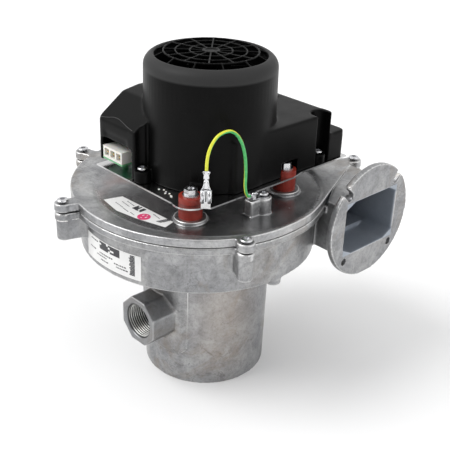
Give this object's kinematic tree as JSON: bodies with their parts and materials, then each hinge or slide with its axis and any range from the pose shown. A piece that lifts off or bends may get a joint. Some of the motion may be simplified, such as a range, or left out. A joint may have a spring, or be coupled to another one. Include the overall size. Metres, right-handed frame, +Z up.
{
  "type": "combustion fan",
  "caption": "Gas boiler combustion fan: die-cast scroll with a flanged outlet, mixer cup with a threaded gas port, and a motor under a black grilled cap.",
  "frame": {"origin": "the rotor axis at the mixer cup's lower face, in the mouth of the air inlet", "axes": "+Z up along the rotor axis; +X is the way the outlet points; the gas port faces -Y"},
  "size_m": [0.2057, 0.2336, 0.2479],
  "materials": {
    "cast_aluminium": "die-cast, matt, mottled grey",
    "gasket_fibre": "pressed fibre sheet",
    "zinc_plated_steel": "bright zinc plate",
    "machined_aluminium": "machined or pressed, clean",
    "black_rubber": "matt black rubber",
    "galvanised_sheet": "smooth galvanised sheet",
    "red_silicone": "satin red silicone",
    "black_plastic": "moulded black, satin",
    "green_board": "glass-fibre board with green mask",
    "white_plastic": "moulded natural nylon",
    "brass_contact": "bright brass",
    "capacitor_sleeve": "shrunk sleeve",
    "copper_enamel": "enamelled copper wire",
    "bearing_steel": "ground steel",
    "lamination_steel": "dark sheet steel",
    "ferrite": "sintered ferrite",
    "earth_insulation": "green and yellow PVC",
    "tinned_copper": "tinned, bright",
    "label_paper": "white label film",
    "pink_paper": "pink printed paper"
  },
  "bodies": {
    "housing": {"volute_housing": "cast_aluminium", "volute_cover": "cast_aluminium", "cover_gasket": "gasket_fibre", "cover_screws": "zinc_plated_steel", "mixer_cup": "cast_aluminium", "cup_gasket": "gasket_fibre", "cup_screws": "zinc_plated_steel", "venturi_nozzle": "machined_aluminium", "venturi_diffuser": "machined_aluminium", "venturi_seals": "black_rubber", "mounting_plate": "galvanised_sheet", "earth_tab": "galvanised_sheet", "rubber_mount_1": "red_silicone", "rubber_mount_2": "red_silicone", "rubber_mount_3": "red_silicone", "mount_sleeves": "zinc_plated_steel", "mount_bolts": "zinc_plated_steel", "motor_cap": "black_plastic", "cap_screws": "zinc_plated_steel", "circuit_board": "green_board", "mains_connector": "white_plastic", "connector_pins": "brass_contact", "signal_connector": "white_plastic", "bulk_capacitors": "capacitor_sleeve", "filter_choke": "copper_enamel", "heat_sink": "machined_aluminium", "power_transistors": "black_plastic", "bearing_tube": "machined_aluminium", "lower_bearing": "bearing_steel", "upper_bearing": "bearing_steel", "preload_washer": "bearing_steel", "stator_core": "lamination_steel", "stator_insulators": "white_plastic", "stator_windings": "copper_enamel", "shaft_seal": "black_rubber", "earth_wire": "earth_insulation", "spade_terminal": "tinned_copper", "ring_terminal": "tinned_copper", "earth_screw": "zinc_plated_steel", "cover_label": "label_paper", "housing_label": "label_paper", "round_sticker": "pink_paper"},
    "rotor": {"motor_shaft": "bearing_steel", "rotor_bell": "lamination_steel", "rotor_magnet": "ferrite", "cooling_wheel": "black_plastic", "impeller_backplate": "machined_aluminium", "impeller_blades": "machined_aluminium", "impeller_shroud": "machined_aluminium", "impeller_nut": "bearing_steel"}
  },
  "joints": [
    {"name": "rotor_spin", "type": "hinge", "parent": "housing", "child": "rotor", "pos_m": [0, 0, 0.16], "axis": [0, 0, 1], "continuous": true}
  ]
}
